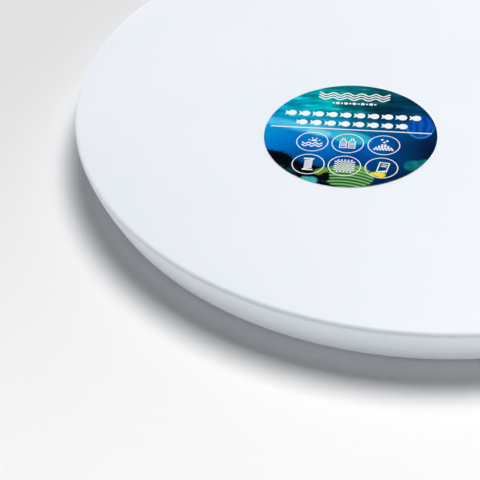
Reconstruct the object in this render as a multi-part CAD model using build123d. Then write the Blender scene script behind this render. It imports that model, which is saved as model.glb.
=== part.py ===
"""A shallow injection-moulded flying disc with a round printed label on its top.

The disc lies dome up. The origin is on its axis, in the plane that its foot ring stands on, with +Z up.
The label is off centre, towards -X and -Y, and reads from -X to +X with a small clockwise turn.
"""

from build123d import *
import math
import os

# Outside of the disc, in millimetres
outer_radius = 107.7  # where the top and the wall would meet if the shoulder were sharp
rim_height = 13.2  # from the foot ring to that sharp corner
crown = 1.2  # how far the flat middle stands above the corner
panel_radius = 62.0  # the flat middle, which the label is stuck on
foot_radius = 103.3  # where the wall would meet the ground if the foot were sharp
wall_bulge = 0.45  # how far the wall bows out of a straight line
shoulder_round = 1.0
foot_round = 1.5

# Walls and inside
plate_thickness = 1.9
wall_thickness = 2.6
root_round = 3.0  # inside corner between plate and wall
lip_radius = 99.0  # inner edge of the foot ring, which is rolled in for the fingers
lip_height = 2.2  # how tall the inner face of the foot ring is
lip_round = 0.7
bend_height = 6.2  # where the rolled foot becomes the even wall
bend_round = 3.0

# Marks that the mould leaves on the underside
gate_dish_radius = 7.0
gate_dish_depth = 0.5
gate_stub_radius = 1.3
gate_stub_height = 0.35
ejector_radius = 4.0
ejector_height = 0.2
ejector_rings = ((30.0, 4), (56.0, 8))  # (distance from the axis, number of pins)

# Label: one die cuts all of its layers
label_radius = 25.0
label_centre = (-25.6, -25.9)
label_turn = -12.3  # degrees about +Z, from +X to the reading direction
adhesive_thickness = 0.03
film_thickness = 0.08
print_thickness = 0.02
laminate_thickness = 0.04

top_height = rim_height + crown
underside_height = top_height - plate_thickness
FROM_BELOW = (Align.CENTER, Align.CENTER, Align.MIN)


def inner_wall_point(height):
    """A point on the inside of the even wall, which follows the slope of the outside."""
    slope = (outer_radius - foot_radius) / rim_height
    return foot_radius + slope * height - wall_thickness, height


def disc_section():
    """Half of the disc's section, from the axis out to the rim."""
    shoulder = (outer_radius, rim_height)
    foot = (foot_radius, 0)
    lip_bottom, lip_top = (lip_radius, 0), (lip_radius, lip_height)
    bend = inner_wall_point(bend_height)
    root = inner_wall_point(rim_height - plate_thickness)
    with BuildSketch(Plane.XZ) as section:
        with BuildLine():
            Line((0, top_height), (panel_radius, top_height))
            TangentArc((panel_radius, top_height), shoulder, tangent=(1, 0))
            SagittaArc(shoulder, foot, wall_bulge)
            Polyline(foot, lip_bottom, lip_top, bend, root)
            TangentArc((panel_radius, underside_height), root, tangent=(1, 0))
            Line((panel_radius, underside_height), (0, underside_height))
            Line((0, underside_height), (0, top_height))
        make_face()
        for corner, radius in (
            (shoulder, shoulder_round),
            (foot, foot_round),
            (lip_bottom, lip_round),
            (lip_top, lip_round),
            (bend, bend_round),
            (root, root_round),
        ):
            fillet(section.vertices().sort_by_distance((*corner, 0))[0], radius)
    return section.sketch


def ejector_pads():
    """Raised round pads that the ejector pins leave under the plate, the outer ring half a step round."""
    for ring, (distance, count) in enumerate(ejector_rings):
        for index in range(count):
            angle = 2 * math.pi * (index + ring / 2) / count
            place = Pos(distance * math.cos(angle), distance * math.sin(angle), underside_height - ejector_height)
            yield place * Cylinder(ejector_radius, ejector_height, align=FROM_BELOW)


def disc_shell():
    """The moulded disc, with a gate dish and its cut-off stub in its underside, and the ejector pads on it."""
    shell = revolve(disc_section(), axis=Axis.Z)
    dish = Cylinder(gate_dish_radius, gate_dish_depth, align=FROM_BELOW)
    shell -= Pos(0, 0, underside_height) * dish
    stub = Cylinder(gate_stub_radius, gate_stub_height, align=FROM_BELOW)
    stub_place = Pos(0, 0, underside_height + gate_dish_depth - gate_stub_height)
    return shell + [stub_place * stub, *ejector_pads()]


def label_layer(bottom, thickness):
    """One flat round layer of the label, turned to the label's reading direction."""
    layer = Cylinder(label_radius, thickness, align=FROM_BELOW)
    return Pos(*label_centre, bottom) * Rot(0, 0, label_turn) * layer


def label_layers():
    """The label's layers, stacked on the disc from the adhesive up."""
    height = top_height
    for name, thickness in (
        ("label_adhesive", adhesive_thickness),
        ("label_film", film_thickness),
        ("label_print", print_thickness),
        ("label_laminate", laminate_thickness),
    ):
        yield name, label_layer(height, thickness)
        height += thickness


os.makedirs("parts", exist_ok=True)
for node, shape in (("disc_shell", disc_shell()), *label_layers()):
    export_step(shape, f"parts/{node}.step")
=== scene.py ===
# %% [markdown]
# # A flying disc with a printed label
#
# The real thing is one moulding of cool white plastic: a nearly flat plate with a rounded shoulder, a wall
# that leans in, and a rolled foot that the fingers hook round. A round sticker lies off centre on top of
# it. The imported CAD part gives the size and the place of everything. This script adds the smooth surfaces,
# the finishes, the picture on the label, and a plain studio to see them in.

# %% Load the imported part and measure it
import math

import bpy
import numpy as np
from mathutils import Matrix, Vector


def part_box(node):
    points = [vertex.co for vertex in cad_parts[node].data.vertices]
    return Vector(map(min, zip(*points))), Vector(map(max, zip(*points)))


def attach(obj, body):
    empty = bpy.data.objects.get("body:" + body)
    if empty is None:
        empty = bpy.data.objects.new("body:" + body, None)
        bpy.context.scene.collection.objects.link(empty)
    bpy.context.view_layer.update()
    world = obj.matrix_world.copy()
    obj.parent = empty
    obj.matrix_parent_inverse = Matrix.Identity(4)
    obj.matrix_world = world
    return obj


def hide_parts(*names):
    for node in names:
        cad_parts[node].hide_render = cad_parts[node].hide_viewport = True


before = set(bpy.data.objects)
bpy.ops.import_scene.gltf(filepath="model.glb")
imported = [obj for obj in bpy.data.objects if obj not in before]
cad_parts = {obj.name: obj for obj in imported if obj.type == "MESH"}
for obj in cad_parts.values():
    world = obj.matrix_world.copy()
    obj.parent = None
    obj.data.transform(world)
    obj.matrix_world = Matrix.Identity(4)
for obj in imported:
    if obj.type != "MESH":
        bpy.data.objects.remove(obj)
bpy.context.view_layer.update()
disc_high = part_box("disc_shell")[1]
film_low, film_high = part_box("label_film")
laminate_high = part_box("label_laminate")[1]
MM = 0.001
print("disc:", round(disc_high.x * 2 / MM, 1), "mm across,", round(disc_high.z / MM, 1), "mm high")

# %% [markdown]
# ## The camera
#
# A long lens close to the disc, looking down at about 41 degrees and rolled a little, so that the disc
# fills the corner of the frame. It comes first, because every later choice is judged through it.

# %% The camera
CAMERA_PLACE = Vector((-0.0598, -0.2750, 0.1965))
LOOK_DOWN = math.radians(41.43)
ROLL = math.radians(-4.37)
camera_data = bpy.data.cameras.new("camera")
camera_data.lens = 79.4
camera_data.sensor_width = 36.0
camera_data.clip_start, camera_data.clip_end = 0.01, 20.0
camera = bpy.data.objects.new("camera", camera_data)
bpy.context.scene.collection.objects.link(camera)
turned = Matrix.Rotation(math.pi / 2 - LOOK_DOWN, 4, "X") @ Matrix.Rotation(ROLL, 4, "Z")
camera.matrix_world = Matrix.Translation(CAMERA_PLACE) @ turned
bpy.context.scene.camera = camera
bpy.context.scene.view_settings.view_transform = "Standard"

# %% [markdown]
# ## Meshes from grids
#
# Every new piece here is a grid of points worked out by numpy in one go, and then handed to the mesh. A
# grid can be closed round in one direction, which makes a ring or a tube. One helper does that for all
# pieces.

# %% From a grid of points to a mesh
def grid_faces(rows, columns, wrap_rows=False, wrap_columns=False):
    """Corner numbers of the quads between neighbouring points of a grid, with the last row or column joined
    to the first where it wraps. Going up the rows and then along the columns turns left round each face."""
    row = np.arange(rows if wrap_rows else rows - 1)[:, None]
    column = np.arange(columns if wrap_columns else columns - 1)[None, :]
    next_row, next_column = (row + 1) % rows, (column + 1) % columns
    corners = (row * columns + column, row * columns + next_column,
               next_row * columns + next_column, next_row * columns + column)
    return np.stack(np.broadcast_arrays(*corners), -1).reshape(-1, 4)


def make_piece(name, points, faces, smooth=True):
    """An object at the origin whose mesh has these points, in metres, and these faces."""
    mesh = bpy.data.meshes.new(name)
    mesh.from_pydata(points.tolist(), [], faces if isinstance(faces, list) else faces.tolist())
    mesh.validate()
    mesh.shade_smooth() if smooth else mesh.shade_flat()
    piece = bpy.data.objects.new(name, mesh)
    bpy.context.scene.collection.objects.link(piece)
    return piece


# %% [markdown]
# ## The disc's outline
#
# A thrown disc is a solid of revolution, so its shape is one outline turned about the axis. The outline is
# a list of corners, each with the radius that the mould maker rounds it by. Two gentle bends come after:
# the plate falls away outside its flat middle, and the wall bows out. Corners of the wall's inside are
# drawn that much too high beforehand, and so end where they belong.

# %% The outline of the moulding
TOP = disc_high.z
OUTER, FOOT, LIP = 107.7 * MM, 103.3 * MM, 99.0 * MM
CROWN, PANEL = 1.2 * MM, 62.0 * MM
WALL_BOW, WALL, PLATE = 0.45 * MM, 2.6 * MM, 1.9 * MM
UNDER = TOP - PLATE
DISH, DISH_FLOOR = 7.0 * MM, UNDER + 0.5 * MM
STUB, STUB_END = 1.3 * MM, UNDER + 0.15 * MM
LIP_FACE, BEND = 2.2 * MM, 6.2 * MM
SHOULDER_ROUND, FOOT_ROUND, LIP_ROUND, INNER_ROUND = 1.0 * MM, 1.5 * MM, 0.7 * MM, 3.0 * MM
DISH_ROUND, STUB_ROUND = 0.15 * MM, 0.1 * MM


def wall_inside(height):
    """The wall's inner face leans as its outer face does, one wall thickness further in."""
    return FOOT + (OUTER - FOOT) * height / (TOP - CROWN) - WALL


ROOT = wall_inside(UNDER - CROWN)  # where the underside of the plate meets the wall


def kept(radius, reach, level):
    """What share of its height a point keeps. A surface at this level drops with the square of the distance
    outside the flat middle, by the whole crown at the reach, and whatever is lower drops in proportion."""
    outside = np.clip((radius - PANEL) / (reach - PANEL), 0, None)
    return 1 - CROWN * outside**2 / level


def inner_corner(radius, height, rounding):
    """A corner of the inside, raised so that the plate's fall brings it to this height."""
    return radius, height / kept(radius, ROOT, UNDER), rounding


ROUND_POINTS = 15


def rounded_outline(corners, step):
    """A path through the corners with each rounded off. A round of radius r at a corner where the path
    turns by t starts and ends r times tan(t / 2) from the corner, and its points turn evenly about the
    round's centre."""
    corners = np.array(corners)
    path = [corners[:1, :2]]
    for before, here, after in zip(corners, corners[1:], corners[2:]):
        a, b = here[:2] - before[:2], after[:2] - here[:2]
        a, b = a / np.linalg.norm(a), b / np.linalg.norm(b)
        turn = math.atan2(a[0] * b[1] - a[1] * b[0], a @ b)
        radius, side = here[2], math.copysign(1, turn)
        start = here[:2] - a * radius * math.tan(abs(turn) / 2)
        centre = start + radius * side * np.array((-a[1], a[0]))
        angle = turn * np.linspace(0, 1, ROUND_POINTS)[:, None]
        arm = start - centre
        crossed = np.array((-arm[1], arm[0]))
        path.append(centre + arm * np.cos(angle) + crossed * np.sin(angle))
    path.append(corners[-1:, :2])
    joined = [path[0]]
    for first, second in zip(path, path[1:]):
        gap = second[0] - first[-1]
        count = max(1, math.ceil(np.linalg.norm(gap) / step))
        joined.append(first[-1] + gap * np.arange(1, count)[:, None] / count)
        joined.append(second)
    return np.concatenate(joined)


outline = rounded_outline([
    (0, TOP, 0), (OUTER, TOP, SHOULDER_ROUND), (FOOT, 0, FOOT_ROUND), (LIP, 0, LIP_ROUND),
    inner_corner(LIP, LIP_FACE, LIP_ROUND), inner_corner(wall_inside(BEND), BEND, INNER_ROUND),
    inner_corner(ROOT, UNDER - CROWN, INNER_ROUND), (DISH, UNDER, DISH_ROUND), (DISH, DISH_FLOOR, DISH_ROUND),
    (STUB, DISH_FLOOR, STUB_ROUND), (STUB, STUB_END, STUB_ROUND), (0, STUB_END, 0),
], step=3 * MM)
print("the outline has", len(outline), "points")

# %% [markdown]
# ## The disc
#
# The outline is turned about the axis in 400 steps. The fall of the plate and the bow of the wall are smooth
# functions of radius and height, so the rounds stay round.

# %% The moulded disc
TURNS = 400


def revolved(radius, height, turns):
    """Each outline point becomes a ring of points: radius times cosine and sine of the angle, at its own
    height. The two ends of the outline lie on the axis and become single points."""
    angle = 2 * np.pi * np.arange(turns) / turns
    ring = np.stack((np.cos(angle), np.sin(angle)), -1)
    flat = radius[1:-1, None, None] * ring[None]
    rings = np.concatenate((flat, np.broadcast_to(height[1:-1, None, None], flat.shape[:2] + (1,))), -1)
    ends = np.array(((0, 0, height[0]), (0, 0, height[-1])))
    points = np.concatenate((rings.reshape(-1, 3), ends))
    quads = grid_faces(len(radius) - 2, turns, wrap_columns=True)[:, ::-1]
    around, following = np.arange(turns), (np.arange(turns) + 1) % turns
    last_ring, first_end = (len(radius) - 3) * turns, (len(radius) - 2) * turns
    cap = [(a, b, first_end) for a, b in zip(around, following)]
    floor = [(last_ring + b, last_ring + a, first_end + 1) for a, b in zip(around, following)]
    return points, quads.tolist() + cap + floor


radius, height = outline.T
on_outside = np.arange(len(radius)) < np.argmin(height)
height = height * np.where(on_outside, kept(radius, OUTER, TOP), kept(radius, ROOT, UNDER))
share = np.clip(height / (TOP - CROWN), 0, 1)
bow = np.where(on_outside, 4 * WALL_BOW * share * (1 - share), 0)
disc = make_piece("moulded_disc", *revolved(radius + bow, height, TURNS))
print("disc:", len(disc.data.polygons), "faces, widest radius", round((radius + bow).max() / MM, 2), "mm")

# %% [markdown]
# ## The ejector pads
#
# Pins push the cold disc off its core, and each leaves a slightly raised round pad under the plate. A pad
# is a shallow button, and all of them are one mesh, because they are made again and again from one outline.

# %% Ejector pads under the plate
PAD, PAD_PROUD, PAD_TURNS = 4.0 * MM, 0.2 * MM, 40
PAD_HIDDEN_ROUND, PAD_ROUND = 0.05 * MM, 0.08 * MM
PAD_RINGS = ((30 * MM, 4), (56 * MM, 8))  # (distance from the axis, number of pads)
pad_outline = rounded_outline([
    (0, UNDER + PAD_PROUD, 0), (PAD, UNDER + PAD_PROUD, PAD_HIDDEN_ROUND),
    (PAD, UNDER - PAD_PROUD, PAD_ROUND), (0, UNDER - PAD_PROUD, 0),
], step=2 * MM)


def pads():
    """Copies of one revolved button, moved to places spread evenly round each ring. Each copy's faces count
    their corners on from the copy before."""
    points, faces = revolved(*pad_outline.T, PAD_TURNS)
    angles = [2 * np.pi * (np.arange(count) + ring / 2) / count for ring, (_, count) in enumerate(PAD_RINGS)]
    places = np.concatenate([distance * np.stack((np.cos(angle), np.sin(angle), 0 * angle), -1)
                             for (distance, _), angle in zip(PAD_RINGS, angles)])
    moved = (points + places[:, None]).reshape(-1, 3)
    starts = len(points) * np.arange(len(places))
    return moved, [tuple(np.add(face, start)) for start in starts for face in faces]


pad_piece = make_piece("ejector_pads", *pads())

# %% [markdown]
# ## Node helpers
#
# Materials are built from nodes by a few short helpers. An effect that several finishes share is a node
# group with named inputs and outputs. The shader itself always stays in the material.

# %% Helpers for node trees


class Tree:
    """A node tree under construction. Each method adds one node and returns the socket that it puts out."""

    def __init__(self, tree):
        self.tree = tree

    def node(self, kind, **settings):
        made = self.tree.nodes.new(kind)
        for name, value in settings.items():
            setattr(made, name, value)
        return made

    def feed(self, socket, value):
        """Links a socket to another, or sets it to a plain value."""
        if isinstance(value, bpy.types.NodeSocket):
            self.tree.links.new(value, socket)
        else:
            socket.default_value = value

    def math(self, operation, *values):
        made = self.node("ShaderNodeMath", operation=operation)
        for socket, value in zip(made.inputs, values):
            self.feed(socket, value)
        return made.outputs[0]

    def noise(self, vector, scale, detail=2.0, roughness=0.5):
        made = self.node("ShaderNodeTexNoise")
        given = {"Vector": vector, "Scale": scale, "Detail": detail, "Roughness": roughness}
        for name, value in given.items():
            self.feed(made.inputs[name], value)
        return made.outputs["Fac"]

    def span(self, value, low, high, new_low=0.0, new_high=1.0):
        """Stretches the values from low to high onto another span, and holds them at its ends."""
        made = self.node("ShaderNodeMapRange", interpolation_type="SMOOTHSTEP")
        for name, given in (("Value", value), ("From Min", low), ("From Max", high),
                            ("To Min", new_low), ("To Max", new_high)):
            self.feed(made.inputs[name], given)
        return made.outputs["Result"]

    def mapped(self, vector, scale=(1, 1, 1), rotation=(0, 0, 0)):
        made = self.node("ShaderNodeMapping")
        self.feed(made.inputs["Vector"], vector)
        made.inputs["Scale"].default_value = scale
        made.inputs["Rotation"].default_value = rotation
        return made.outputs["Vector"]

    def mix(self, factor, first, second):
        made = self.node("ShaderNodeMix", data_type="RGBA")
        self.feed(made.inputs["Factor"], factor)
        self.feed(made.inputs[6], first)
        self.feed(made.inputs[7], second)
        return made.outputs[2]

    def bump(self, height, distance, strength=1.0):
        made = self.node("ShaderNodeBump")
        for name, value in (("Height", height), ("Distance", distance), ("Strength", strength)):
            self.feed(made.inputs[name], value)
        return made.outputs["Normal"]

    def place(self):
        """Object coordinates, which are the frame's own metres, because every piece sits at the origin."""
        return self.node("ShaderNodeTexCoord").outputs["Object"]

    def group(self, shared, **values):
        """Places a shared group, with its inputs set or linked by name, and returns its outputs."""
        made = self.node("ShaderNodeGroup", node_tree=shared.tree)
        for name, value in values.items():
            self.feed(made.inputs[name.replace("_", " ")], value)
        return made.outputs


def new_group(name, inputs, outputs):
    """A shader node group with these named inputs, each with its default, and these named outputs."""
    tree = bpy.data.node_groups.new(name, "ShaderNodeTree")
    for label, default in inputs.items():
        kind = "NodeSocketVector" if label == "Vector" else "NodeSocketFloat"
        socket = tree.interface.new_socket(name=label, in_out="INPUT", socket_type=kind)
        if label != "Vector":
            socket.default_value = default
    for label in outputs:
        tree.interface.new_socket(name=label, in_out="OUTPUT", socket_type="NodeSocketFloat")
    return Tree(tree), tree.nodes.new("NodeGroupInput").outputs, tree.nodes.new("NodeGroupOutput").inputs


def new_material(name, **constants):
    """A material with one Principled shader, whose unvarying values are set on its own sockets."""
    material = bpy.data.materials.new(name)
    material.use_nodes = True
    shader = material.node_tree.nodes["Principled BSDF"]
    for label, value in constants.items():
        shader.inputs[label.replace("_", " ")].default_value = value
    return material, Tree(material.node_tree), shader.inputs


def dress(piece, material):
    piece.data.materials.clear()
    piece.data.materials.append(material)


# %% [markdown]
# ## Wear that several finishes share
#
# Handling leaves hair-fine scratches in all directions. One layer of them is noise squeezed into long
# streaks, of which only the crests show. Three layers, each turned its own way, cross each other.

# %% The shared scratches
scratches, given, out = new_group(
    "hair_scratches", {"Vector": None, "Scale": 1.0, "Amount": 1.0}, ["Scratches"])
layers = []
for angle, length in ((0.4, 60.0), (2.1, 45.0), (1.2, 80.0)):
    streaks = scratches.mapped(given["Vector"], scale=(length, 2200.0, 300.0), rotation=(0, 0, angle))
    layers.append(scratches.span(scratches.noise(streaks, given["Scale"], detail=1.0), 0.73, 0.78))
strongest = scratches.math("MAXIMUM", scratches.math("MAXIMUM", layers[0], layers[1]), layers[2])
scratches.feed(out["Scratches"], scratches.math("MULTIPLY", strongest, given["Amount"]))

# %% [markdown]
# ## The disc's plastic
#
# Recycled polyethylene, moulded against a polished steel tool: cool white, satin, faintly uneven in gloss,
# with a slight waviness where it shrank, and here and there a speck from its former life.

# %% Moulded white plastic
plastic, nodes, shader = new_material(
    "moulded_white_plastic", IOR=1.5, Specular_IOR_Level=0.35, Subsurface_Weight=0.12, Subsurface_Scale=0.002)
shader["Subsurface Radius"].default_value = (1.0, 1.1, 1.3)
where = nodes.place()
cloud = nodes.noise(where, 28.0, detail=3.0)
whiteness = nodes.mix(nodes.span(cloud, 0.35, 0.65), (0.775, 0.812, 0.868, 1), (0.790, 0.824, 0.876, 1))
specks = nodes.node("ShaderNodeTexVoronoi", feature="F1")
nodes.feed(specks.inputs["Vector"], where)
specks.inputs["Scale"].default_value = 90.0
rare = nodes.span(specks.outputs["Distance"], 0.035, 0.012)
chosen = nodes.math("GREATER_THAN", nodes.noise(where, 61.0, detail=0.0), 0.66)
speck_mask = nodes.math("MULTIPLY", nodes.math("MULTIPLY", rare, chosen), 0.35)
nodes.feed(shader["Base Color"], nodes.mix(speck_mask, whiteness, (0.42, 0.47, 0.52, 1)))
hair = nodes.group(scratches, Vector=where, Scale=1.0, Amount=1.0)["Scratches"]
satin = nodes.span(nodes.noise(where, 14.0), 0.3, 0.7, 0.48, 0.54)
nodes.feed(shader["Roughness"], nodes.math("ADD", satin, nodes.math("MULTIPLY", hair, 0.10)))
shrinkage = nodes.math("MULTIPLY", nodes.noise(where, 22.0), 6.0)
skin = nodes.math("ADD", nodes.noise(where, 900.0), shrinkage)
skin = nodes.math("SUBTRACT", skin, nodes.math("MULTIPLY", hair, 0.5))
nodes.feed(shader["Normal"], nodes.bump(skin, 0.000006))
for piece in (disc, pad_piece):
    dress(piece, plastic)

# %% [markdown]
# ## The label's own coordinates
#
# Everything printed is laid out in label radii: u runs along the reading direction and v up it, and the
# die-cut edge is the circle where u and v make 1. One function carries such points onto the disc.

# %% From the label's layout to the disc
LABEL_TURN = math.radians(-12.3)
LABEL = (film_high.x - film_low.x) / 2
LABEL_X, LABEL_Y = (film_high.x + film_low.x) / 2, (film_high.y + film_low.y) / 2
MARK_RAISE = 0.012 * MM
MARK_TOP = laminate_high.z
PICTURE_TOP = MARK_TOP - MARK_RAISE
print("label:", round(2 * LABEL / MM, 2), "mm across, its top", round(MARK_TOP / MM, 3), "mm up")


def on_label(u, v, height):
    """Layout points scaled to the label's radius, turned to the reading direction and moved to the label's
    place."""
    x = LABEL_X + LABEL * (u * math.cos(LABEL_TURN) - v * math.sin(LABEL_TURN))
    y = LABEL_Y + LABEL * (u * math.sin(LABEL_TURN) + v * math.cos(LABEL_TURN))
    return np.stack(np.broadcast_arrays(x, y, height), -1)


# %% [markdown]
# ## The picture's sheet
#
# The print needs many small faces, because each corner carries a colour. A square grid squeezed into a
# circle has even cells and no pole, which is why it is used here and not rings and spokes.

# %% A square grid squeezed into the label's circle
CELLS = 290


def squeezed(cells):
    """Shirley's concentric map: a square's rings become circles. The larger of the two coordinates gives the
    distance from the centre, and their ratio gives the angle within the quarter turn."""
    side = np.linspace(-1, 1, cells + 1)
    a, b = np.meshgrid(side, side, indexing="xy")
    wide = np.abs(a) > np.abs(b)
    reach = np.where(wide, a, b)
    ratio = np.where(wide, b, a) / np.where(reach == 0, 1, reach)
    angle = np.where(wide, ratio * np.pi / 4, np.pi / 2 - ratio * np.pi / 4)
    return reach * np.cos(angle), reach * np.sin(angle)


u, v = squeezed(CELLS)
edge_round = 0.02 * MM * np.clip((np.hypot(u, v) - 0.99) / 0.01, 0, 1) ** 2
sheet = on_label(u, v, PICTURE_TOP - edge_round).reshape(-1, 3)
number = np.arange((CELLS + 1) ** 2).reshape(CELLS + 1, -1)
rim = np.concatenate((number[0, :-1], number[:-1, -1], number[-1, :0:-1], number[:0:-1, 0]))
skirt = sheet[rim].copy()
skirt[:, 2] = film_high.z
below = len(sheet) + np.arange(len(rim))
after = np.roll(np.arange(len(rim)), -1)
side_faces = np.stack((rim, below, below[after], rim[after]), -1).tolist()
picture_faces = grid_faces(CELLS + 1, CELLS + 1).tolist() + side_faces + [tuple(below[::-1])]
picture = make_piece("label_picture", np.concatenate((sheet, skirt)), picture_faces)
print("picture:", len(picture.data.polygons), "faces")

# %% [markdown]
# ## Painting the sea
#
# The picture is a generic view under water: bright rippled surface above, deep blue below, a dark reef,
# coral and a striped fish. It is painted in numpy. Pools of colour give the water, and each further thing
# is a soft mask worked out from a simple shape.

# %% Brushes


def ramp(low, high, value):
    """0 below low, 1 above high, and a smooth S between: three times the square less twice the cube."""
    t = np.clip((value - low) / (high - low), 0, 1)
    return t * t * (3 - 2 * t)


def linear(red, green, blue):
    """A colour given as on a screen, from 0 to 255, in the linear light that the shader works in."""
    share = np.array((red, green, blue)) / 255
    return np.where(share < 0.04045, share / 12.92, ((share + 0.055) / 1.055) ** 2.4)


def rough(u, v, scale, seed):
    """Cloudy values about 0: seven sine waves added, each turned by the golden angle, finer and fainter."""
    total = 0
    for octave in range(7):
        turn, pitch = seed + 2.4 * octave, scale * 1.45**octave
        total = total + np.sin(pitch * (u * math.cos(turn) + v * math.sin(turn)) + 5.1 * turn) / 1.25**octave
    return total / 4


def capsule(u, v, start, end, radius):
    """How far a point is outside a rounded stroke from start to end: the distance to the nearest point of
    the line less the radius, so that it is below 0 inside."""
    (a, b), (c, d) = start, end
    along = np.clip(((u - a) * (c - a) + (v - b) * (d - b)) / ((c - a) ** 2 + (d - b) ** 2), 0, 1)
    return np.hypot(u - a - along * (c - a), v - b - along * (d - b)) - radius


def laid(canvas, mask, colour):
    """The colour laid over the canvas as thickly as the mask says."""
    return canvas + (linear(*colour) - canvas) * mask[..., None]


# %% The water and the light in it
POOLS = (
    (-0.30, 0.95, 0.28, (0, 140, 146)), (0.10, 0.95, 0.25, (4, 92, 100)), (0.55, 0.80, 0.25, (6, 58, 76)),
    (-0.70, 0.58, 0.22, (0, 160, 190)), (-0.38, 0.55, 0.20, (0, 172, 178)), (0.00, 0.55, 0.18, (0, 96, 108)),
    (0.32, 0.48, 0.22, (4, 42, 58)), (0.62, 0.45, 0.20, (2, 58, 92)), (0.88, 0.32, 0.18, (4, 52, 104)),
    (-0.92, 0.05, 0.22, (0, 150, 208)), (-0.35, 0.20, 0.20, (0, 140, 176)), (0.10, 0.15, 0.20, (0, 104, 140)),
    (0.52, 0.08, 0.22, (0, 72, 128)), (0.95, 0.05, 0.18, (4, 40, 84)), (-0.75, -0.20, 0.24, (0, 112, 198)),
    (-0.20, -0.20, 0.22, (0, 112, 196)), (0.28, -0.22, 0.20, (0, 96, 186)), (0.66, -0.22, 0.16, (4, 50, 98)),
    (0.90, -0.25, 0.20, (6, 24, 50)), (-0.55, -0.48, 0.18, (0, 78, 146)), (0.05, -0.50, 0.22, (0, 58, 130)),
    (0.55, -0.50, 0.22, (2, 58, 110)), (0.75, -0.80, 0.22, (2, 20, 46)), (-0.70, -0.80, 0.22, (4, 14, 26)),
    (0.00, -1.00, 0.20, (2, 14, 26)),
)


def water(u, v):
    """Each pool counts by a bell curve of the distance from it, and the colour is the average by those
    weights."""
    total, weight = 0, 0
    for at_u, at_v, spread, colour in POOLS:
        share = np.exp(-((u - at_u) ** 2 + (v - at_v) ** 2) / spread**2)[..., None]
        total, weight = total + share * linear(*colour), weight + share
    return total / weight


def rippled(canvas, u, v):
    """Seen from below, the surface is long ripples across the view: cloudy values squeezed in v, stronger
    higher up."""
    surface = ramp(0.05, 0.50, v)
    ripples = rough(u * 0.16, v, 32, 1.3) + 0.7 * rough(u * 0.22, v, 64, 0.9)
    canvas = canvas * np.exp(0.80 * surface * ripples)[..., None].clip(0.2, 3)
    return laid(canvas, 0.55 * surface * ramp(0.55, 1.1, ripples) * ramp(0.4, -0.5, u), (130, 232, 226))


def lit(canvas, u, v):
    """A slanting shaft of light from the left, which widens and fades, and two pale glints under its end."""
    middle = 0.18 - 0.24 * (u + 0.95)
    beam = ramp(0.085, 0.0, np.abs(v - middle) - 0.025 - 0.06 * (u + 0.95)) * ramp(0.25, -0.5, u)
    canvas = laid(canvas, beam * (0.72 + 0.25 * rough(u, v * 1.6, 26, 0.5)).clip(0, 1), (88, 202, 236))
    glint = ramp(0.03, -0.02, capsule(u, v, (-0.46, 0.01), (-0.26, -0.035), 0.04))
    canvas = laid(canvas, 0.75 * glint, (132, 220, 232))
    leaf = np.hypot((u - 0.02) / 0.25, (v + 0.085 + 0.12 * u) / 0.125)
    mottled = (0.80 + 0.2 * rough(u, v, 30, 2.0)).clip(0, 1)
    return laid(canvas, mottled * ramp(1.1, 0.75, leaf), (52, 192, 208))


# %% The jelly, the reef and the coral
def jelly(canvas, u, v):
    """A blurred bell with hanging threads: an upright ellipse, darker towards its middle, with a bright
    lower hem."""
    bell = np.hypot((u - 0.80) / 0.165, (v - 0.20) / 0.24)
    threads = 0.5 + 0.5 * np.sin(75 * (u - 0.80) + 4 * rough(u, v, 7, 0.4))
    body = ramp(1.02, 0.80, bell)
    canvas = laid(canvas, body * (0.25 + 0.60 * threads * ramp(-0.1, 0.3, v + 0.15)), (14, 92, 205))
    hem = ramp(0.09, 0.02, np.abs(bell - 0.93)) * ramp(0.30, 0.05, v)
    return laid(canvas, 0.75 * hem, (46, 140, 228))


def reef(canvas, u, v):
    """Black rock below a ragged line that falls to the right, with a few tufts of weed that catch the
    light."""
    crag = -0.66 + 0.32 * ramp(-0.25, -0.95, u) + 0.055 * rough(u, 0.5 * v, 17, 0.2)
    canvas = laid(canvas, ramp(0.015, -0.045, v - crag) * ramp(0.15, -0.25, u), (5, 10, 18))
    weed = ramp(0.35, 0.8, rough(u, v, 26, 2.2)) * ramp(-0.55, -0.8, v) * ramp(-0.05, -0.35, u)
    return laid(canvas, 0.55 * weed, (16, 92, 100))


def coral(canvas, u, v):
    """A knobbly lump of teal coral, and a smaller bright one at the foot of the reef."""
    lump = capsule(u, v, (0.72, -0.56), (0.90, -0.50), 0.085) + 0.022 * rough(u, v, 24, 1.0)
    canvas = laid(canvas, ramp(0.012, -0.02, lump), (8, 104, 112))
    canvas = laid(canvas, 0.6 * ramp(0.0, 0.6, rough(u, v, 40, 0.7)) * ramp(0.0, -0.04, lump), (30, 158, 150))
    tuft = capsule(u, v, (-0.62, -0.74), (-0.56, -0.76), 0.02)
    canvas = laid(canvas, 0.8 * ramp(0.05, -0.05, tuft), (20, 80, 84))
    low = capsule(u, v, (-0.42, -0.885), (-0.33, -0.91), 0.05) + 0.02 * rough(u, v, 30, 0.3)
    return laid(canvas, ramp(0.012, -0.02, low), (60, 176, 180))


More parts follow.
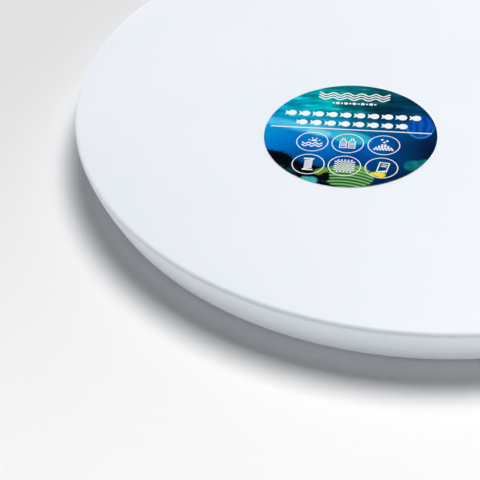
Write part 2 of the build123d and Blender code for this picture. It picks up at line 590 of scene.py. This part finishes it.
# %% The fish
def fish(canvas, u, v):
    """An oval body with stripes that run along it and bend with its back, then a dark face, fins, a yellow
    tail and a patch round the eye."""
    along, across = (u - 0.045) / 0.285, (v + 0.80 + 0.05 * u) / 0.205
    body = ramp(1.05, 0.95, np.hypot(along, across))
    stripes = 0.5 + 0.5 * np.sin(24 * (across + 0.30 * along**2) + 1.5 * along)
    canvas = laid(canvas, body, (30, 96, 44))
    canvas = laid(canvas, 0.5 * body * ramp(-0.2, 0.9, across), (120, 176, 60))
    canvas = laid(canvas, 0.85 * body * ramp(0.55, 0.85, stripes), (150, 200, 132))
    canvas = laid(canvas, body * ramp(-0.70, -0.80, along), (10, 16, 12))
    fin = capsule(u, v, (0.00, -0.615), (0.22, -0.64), 0.024)
    canvas = laid(canvas, 0.75 * ramp(0.012, -0.012, fin), (118, 176, 58))
    face = capsule(u, v, (-0.285, -0.755), (-0.225, -0.715), 0.048)
    canvas = laid(canvas, ramp(0.02, -0.02, face), (112, 152, 36))
    eye = capsule(u, v, (-0.205, -0.80), (-0.195, -0.86), 0.045)
    canvas = laid(canvas, ramp(0.012, -0.012, eye), (8, 10, 10))
    tail = capsule(u, v, (0.305, -0.735), (0.405, -0.745), 0.022 + 0.22 * np.clip(u - 0.29, 0, 0.12))
    return laid(canvas, ramp(0.012, -0.012, tail), (236, 220, 34))


# %% Painting the sheet
def sea_picture(u, v):
    """All the layers in the order that a painter lays them, from far to near."""
    canvas = water(u, v)
    for layer in (rippled, lit, jelly, reef, coral, fish):
        canvas = layer(canvas, u, v)
    return canvas.clip(0, 1)


def paint(piece, colours, rest):
    """Stores one colour for each point. The points after the painted ones, on the cut edge, take the rest
    colour."""
    painted = np.concatenate((colours.reshape(-1, 3), np.broadcast_to(rest, (len(rim), 3))))
    attribute = piece.data.attributes.new("painted", "FLOAT_COLOR", "POINT")
    attribute.data.foreach_set("color", np.c_[painted, np.ones(len(painted))].astype(np.float32).ravel())


canvas = sea_picture(u, v)
paint(picture, canvas, linear(230, 233, 235))
print("painted", canvas.shape[0] * canvas.shape[1], "points, mean colour", canvas.mean((0, 1)).round(3))

# %% [markdown]
# ## Ink under gloss
#
# The clear over-laminate is what the light meets first. A Coat stands for it: smooth, with the ink's own dull
# gloss showing through. The ink has a fine grain, as printed dots do.

# %% Printed ink and white ink
GLOSS = {"Specular_IOR_Level": 0.0, "Coat_Weight": 0.5, "Coat_Roughness": 0.04, "Coat_IOR": 1.4}
printed, nodes, shader = new_material("printed_ink_under_gloss", **GLOSS)
where = nodes.place()
colour = nodes.node("ShaderNodeAttribute", attribute_name="painted").outputs["Color"]
grain = nodes.span(nodes.noise(where, 5200.0, detail=1.0), 0.3, 0.7)
darker = nodes.node("ShaderNodeMix", data_type="RGBA", blend_type="MULTIPLY")
nodes.feed(darker.inputs["Factor"], nodes.math("MULTIPLY", grain, 0.35))
nodes.feed(darker.inputs[6], colour)
darker.inputs[7].default_value = (0.72, 0.76, 0.80, 1)
nodes.feed(shader["Base Color"], darker.outputs[2])
label_hair = nodes.group(scratches, Vector=where, Scale=1.6, Amount=1.0)["Scratches"]
nodes.feed(shader["Roughness"], nodes.math("ADD", nodes.span(grain, 0, 1, 0.40, 0.50), label_hair))
nodes.feed(shader["Normal"], nodes.bump(nodes.noise(where, 60.0), 0.00002))
dress(picture, printed)

white_ink, nodes, shader = new_material("white_ink_under_gloss", **GLOSS)
where = nodes.place()
dots = nodes.span(nodes.noise(where, 4200.0, detail=1.0), 0.35, 0.65)
nodes.feed(shader["Base Color"], nodes.mix(dots, (0.80, 0.84, 0.87, 1), (0.93, 0.94, 0.95, 1)))
nodes.feed(shader["Roughness"], nodes.span(dots, 0, 1, 0.42, 0.50))

film_white, nodes, shader = new_material("label_film_white", Coat_Weight=0.2, IOR=1.5)
fibre = nodes.noise(nodes.mapped(nodes.place(), scale=(1, 1, 6)), 700.0)
nodes.feed(shader["Base Color"], nodes.mix(fibre, (0.84, 0.86, 0.88, 1), (0.92, 0.93, 0.94, 1)))
nodes.feed(shader["Roughness"], nodes.span(fibre, 0, 1, 0.40, 0.55))
glue, nodes, shader = new_material("label_glue_clear", IOR=1.47)
blotch = nodes.noise(nodes.place(), 400.0)
nodes.feed(shader["Base Color"], nodes.mix(blotch, (0.76, 0.76, 0.72, 1), (0.84, 0.84, 0.81, 1)))
nodes.feed(shader["Roughness"], nodes.span(blotch, 0, 1, 0.25, 0.40))
dress(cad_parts["label_film"], film_white)
dress(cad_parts["label_adhesive"], glue)

# %% [markdown]
# ## White marks
#
# The marks printed in white are bands of even width. A band is a flat strip swept along a line in the label's
# layout, with a thickness of a hundredth of a millimetre, so that it is a real closed solid.

# %% A band along a line


def band(line, width, closed=False):
    """The strip's edges are the line moved sideways by half the width along its own normal, which is the
    direction between neighbouring points turned a quarter round. At each corner the sideways step is
    lengthened so that the strip keeps its width. Gives points (u, v, level) with level 1 on top and 0
    below, and their faces."""
    line = np.asarray(line, float)
    ahead = np.roll(line, -1, 0) - line
    behind = line - np.roll(line, 1, 0)
    if not closed:
        ahead[-1], behind[0] = behind[-1], ahead[0]
    ahead /= np.linalg.norm(ahead, axis=1, keepdims=True)
    behind /= np.linalg.norm(behind, axis=1, keepdims=True)
    middle = ahead + behind
    middle /= np.linalg.norm(middle, axis=1, keepdims=True)
    stretch = 1 / np.clip((middle * ahead).sum(1), 0.4, 1)
    side = np.stack((-middle[:, 1], middle[:, 0]), -1) * (stretch * width / 2)[:, None]
    left, right = line + side, line - side
    levels = [(left, 0), (left, 1), (right, 1), (right, 0)]
    points = np.stack([np.c_[edge, np.full(len(line), level)] for edge, level in levels], 1).reshape(-1, 3)
    faces = grid_faces(len(line), 4, wrap_rows=closed, wrap_columns=True).tolist()
    if not closed:
        last = 4 * (len(line) - 1)
        faces += [(3, 2, 1, 0), (last, last + 1, last + 2, last + 3)]
    return points, faces


def filled(outline):
    """A closed outline as a flat plate: the same corners on top and below, joined by a wall."""
    outline = np.asarray(outline, float)
    count = len(outline)
    points = np.concatenate((np.c_[outline, np.ones(count)], np.c_[outline, np.zeros(count)]))
    here, following = np.arange(count), (np.arange(count) + 1) % count
    walls = np.stack((here, here + count, following + count, following), -1).tolist()
    return points, walls + [tuple(here), tuple(here[::-1] + count)]


def circle(u, v, radius, count=32):
    angle = 2 * np.pi * np.arange(count) / count
    return np.stack((u + radius * np.cos(angle), v + radius * np.sin(angle)), -1)


def print_marks(name, shapes):
    """All the shapes as one piece of white ink, lying on the picture."""
    u, v, level = np.concatenate([points for points, _ in shapes]).T
    starts = np.cumsum([0] + [len(points) for points, _ in shapes])
    faces = [tuple(np.add(face, start)) for (_, group), start in zip(shapes, starts) for face in group]
    piece = make_piece(name, on_label(u, v, PICTURE_TOP + MARK_RAISE * level), faces, smooth=False)
    dress(piece, white_ink)
    return piece


# %% Rings, the rule and the lines of waves
RING, STROKE = 0.180, 0.011
COLUMNS, ROWS = (-0.417, -0.010, 0.402), (-0.196, -0.620)
places = [(at_u, at_v) for at_v in ROWS for at_u in COLUMNS]
rings = print_marks("label_rings", [band(circle(*place, RING, 96), STROKE, closed=True) for place in places])
rule = print_marks("label_rule", [band([(-0.94, 0.073), (0.93, 0.071)], 0.017)])


def wave_line(left, right, level, height, crests, width):
    """A band along a sine line with this many crests between its ends."""
    t = np.linspace(0, 1, 24 * crests + 1)
    swell = np.stack((left + (right - left) * t, level + height / 2 * np.cos(2 * np.pi * crests * t)), -1)
    return band(swell, width)


def swimmer(at_u, level, length, height):
    """A plain fish seen from the side. Its half height is the square root of the way back from the nose
    times the way left to the tail's root, and the tail is a notched triangle."""
    t = np.linspace(0, 1, 13)
    nose, root = at_u + length / 2, at_u - length * 0.24
    back = np.stack((nose + (root - nose) * t, level + height * np.sqrt(t * (1.06 - t))), -1)
    tail = np.array(((-0.5, 0.44), (-0.42, 0.0), (-0.5, -0.44))) * (length, height) + (at_u, level)
    belly = back[:0:-1] * (1, -1) + (0, 2 * level)
    return filled(np.concatenate((back, tail, belly)))


surf = print_marks("label_waves", [
    wave_line(-0.44, 0.42, level, height=0.046, crests=5, width=0.020) for level in (0.80, 0.75, 0.70)])
BUBBLE_ROW, BUBBLE_SIZES = 0.605, (0.014, 0.024)
bubbles = print_marks("label_bubbles", [
    filled(circle(at_u, BUBBLE_ROW, BUBBLE_SIZES[index % 2], 24))
    for index, at_u in enumerate(np.linspace(-0.25, 0.25, 11))])
SHOAL_ROWS = ((0.362, 0.735, 10), (0.183, 0.585, 8))  # (level, half the row's length, number of fish)
shoal = print_marks("label_shoal", [
    swimmer(at_u, level, length=0.138, height=0.098)
    for level, half, count in SHOAL_ROWS for at_u in np.linspace(-half, half, count)])

# %% [markdown]
# ## The six pictures in the rings
#
# Each ring holds a simple sign about water and used plastic, drawn for this label: sea and sun, bottles,
# flakes, a bobbin, woven cloth and a folded sheet. They are drawn about 0, 0 and then moved to their rings.

# %% Drawing the six signs
LINE = 0.013


def stroke(*corners, width=LINE, closed=False):
    return band(corners, width, closed)


def sea_and_sun():
    """Half a sun, four rays that stand off it, and two lines of waves below."""
    def from_sun(angle, distance):
        return np.stack((0.02 + distance * np.cos(angle), 0.01 + distance * np.sin(angle)), -1)

    sun = filled(from_sun(np.linspace(0, np.pi, 13), 0.035))
    angles = np.linspace(0.35, np.pi - 0.35, 4)
    rays = [stroke(from_sun(angle, 0.05), from_sun(angle, 0.075)) for angle in angles]
    waves = [wave_line(-0.12, 0.12, level, height=0.028, crests=3, width=0.016) for level in (-0.03, -0.075)]
    return [sun, *rays, *waves]


def bottle(at):
    """Half of a bottle's outline, mirrored: neck, sloping shoulder and straight side, with three bands on
    it."""
    half = np.array(((0.012, 0.085), (0.012, 0.060), (0.036, 0.030), (0.036, -0.085)))
    outline = np.concatenate((half, half[::-1] * (-1, 1))) + (at, 0)
    bands = [stroke((at - 0.036, level), (at + 0.036, level)) for level in (0.005, -0.022, -0.049)]
    cap = np.array(((-0.017, 0.085), (0.017, 0.085), (0.017, 0.1), (-0.017, 0.1))) + (at, 0)
    return [band(outline, LINE, closed=True), *bands, filled(cap)]


def flakes():
    """Rows of small squares, fewer in each row up, with three more falling onto the heap."""
    square = np.array(((-0.018, 0), (0, -0.018), (0.018, 0), (0, 0.018)))
    heap = [(0.034 * (index - (count - 1) / 2), -0.085 + 0.029 * row)
            for row, count in enumerate((7, 6, 4, 2)) for index in range(count)]
    falling = [(0.004, 0.05), (0.034, 0.08), (-0.025, 0.10)]
    return [filled(square + place) for place in heap + falling]


def bobbin():
    """Two flat flanges and the slanting turns of thread between them."""
    flange = np.array(((-0.06, 0), (0.06, 0), (0.06, 0.02), (-0.06, 0.02)))
    flanges = [filled(flange + (0, level)) for level in (-0.11, 0.09)]
    threads = [stroke((-0.045, level), (0.045, level + 0.018)) for level in np.linspace(-0.085, 0.065, 9)]
    return [*flanges, *threads]


def cloth():
    """Five strands up and five across, laid over each other."""
    bars = np.linspace(-0.075, 0.075, 5)
    strands = [((at, -0.115), (at, 0.115)) for at in bars] + [((-0.115, at), (0.115, at)) for at in bars]
    return [stroke(*ends, width=0.017) for ends in strands]


def folded_sheet():
    """A leaning sheet with its lower edge folded up, and two lines on it."""
    lean = np.array(((-0.055, -0.10), (0.055, -0.075), (0.085, 0.085), (-0.02, 0.10)))
    fold = np.array(((-0.055, -0.10), (0.055, -0.075), (0.045, -0.045), (-0.045, -0.065)))
    lines = [stroke((0.0, 0.06), (0.06, 0.05)), stroke((-0.01, 0.03), (0.055, 0.02))]
    return [band(lean, 0.014, closed=True), filled(fold), *lines]


signs = (sea_and_sun(), [*bottle(-0.05), *bottle(0.05)], flakes(), bobbin(), cloth(), folded_sheet())
names = ("sea", "bottles", "flakes", "bobbin", "cloth", "sheet")
sign_pieces = []
for (at_u, at_v), shapes, name in zip(places, signs, names):
    moved = [(points + (at_u, at_v, 0), faces) for points, faces in shapes]
    sign_pieces.append(print_marks("label_sign_" + name, moved))
marks = (rings, rule, surf, bubbles, shoal, *sign_pieces)
print("white marks:", sum(len(piece.data.polygons) for piece in marks), "faces")

# %% [markdown]
# ## Who rides on what
#
# The disc has no moving parts, so every piece rides on the one body. The CAD nodes that the new disc and
# the new picture stand for are hidden.

# %% Riding and replacing
for piece in (disc, pad_piece):
    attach(piece, "root")
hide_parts("disc_shell")
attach(picture, "root")
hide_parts("label_print", "label_laminate")
for piece in marks:
    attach(piece, "root")

# %% [markdown]
# ## The studio
#
# A pale floor, one large soft box high behind the disc and to its right, a smaller lamp beside it that
# hardens the shadow, and a glow all round the horizon, as from white studio walls. The glow lights the wall
# of the disc but hardly reaches the floor under its edge, so the shadow stays deep. The label looks towards
# the dark gap between the glow and the two lights. The floor's colour carries painted light: it is painted
# lighter towards the front and darker towards the back, as light that falls off away from the front.

# %% Floor
FLOOR_RADIUS = 2.5
edge = circle(0, 0, FLOOR_RADIUS, 128)
floor = make_piece("floor", np.c_[edge, np.zeros(len(edge))], [tuple(range(len(edge)))], smooth=False)
paper, nodes, shader = new_material("studio_paper_painted_falloff", Roughness=0.9, IOR=1.3)
where = nodes.place()
sheet_place = nodes.node("ShaderNodeSeparateXYZ")
nodes.feed(sheet_place.inputs[0], nodes.mapped(where, rotation=(0, 0, math.radians(-13))))
# Painted light: the floor's colour runs from darker at the back to lighter at the front, standing in for
# light falling off towards the back.
near = nodes.span(sheet_place.outputs["Y"], 0.10, -0.16)
tooth = nodes.span(nodes.noise(where, 300.0), 0.3, 0.7, 0.0, 0.04)
painted_falloff_tint = nodes.mix(near, (0.71, 0.71, 0.715, 1), (0.945, 0.945, 0.945, 1))
nodes.feed(shader["Base Color"], nodes.mix(tooth, painted_falloff_tint, (0.80, 0.80, 0.80, 1)))
dress(floor, paper)

# %% The soft box and the lamp beside it
BOX_AWAY = 6.0


def soft_light(name, bearing, climb, size, watts):
    """A square area light that faces the disc from a bearing, clockwise from +Y, and an elevation, in
    degrees."""
    bearing, climb = math.radians(bearing), math.radians(climb)
    flat = math.cos(climb)
    place = BOX_AWAY * Vector((math.sin(bearing) * flat, math.cos(bearing) * flat, math.sin(climb)))
    data = bpy.data.lights.new(name, "AREA")
    data.size, data.energy = size, watts
    light = bpy.data.objects.new(name, data)
    bpy.context.scene.collection.objects.link(light)
    light.matrix_world = Matrix.Translation(place) @ place.to_track_quat("Z", "Y").to_matrix().to_4x4()
    print(name, "at", [round(value, 2) for value in place])


soft_light("softbox", bearing=28, climb=60, size=3.3, watts=342)
soft_light("lamp", bearing=40, climb=53, size=2.0, watts=102)

# %% The glow round the horizon
world = bpy.data.worlds.new("horizon_glow")
world.use_nodes = True
bpy.context.scene.world = world
sky = Tree(world.node_tree)
background = world.node_tree.nodes["Background"]
parts = sky.node("ShaderNodeSeparateXYZ")
sky.feed(parts.inputs[0], sky.node("ShaderNodeTexCoord").outputs["Generated"])
GLOW_TOP, OVERHEAD, GLOW, LEFT_GLOW = 0.25, 0.01, 3.8, 1.2
low_glow = sky.span(sky.math("ABSOLUTE", parts.outputs["Z"]), GLOW_TOP, 0.0, OVERHEAD, GLOW)
leftward = sky.span(parts.outputs["X"], 1.0, -1.0, 1.0, LEFT_GLOW)
sky.feed(background.inputs["Strength"], sky.math("MULTIPLY", low_glow, leftward))
background.inputs["Color"].default_value = (0.96, 0.98, 1.0, 1)
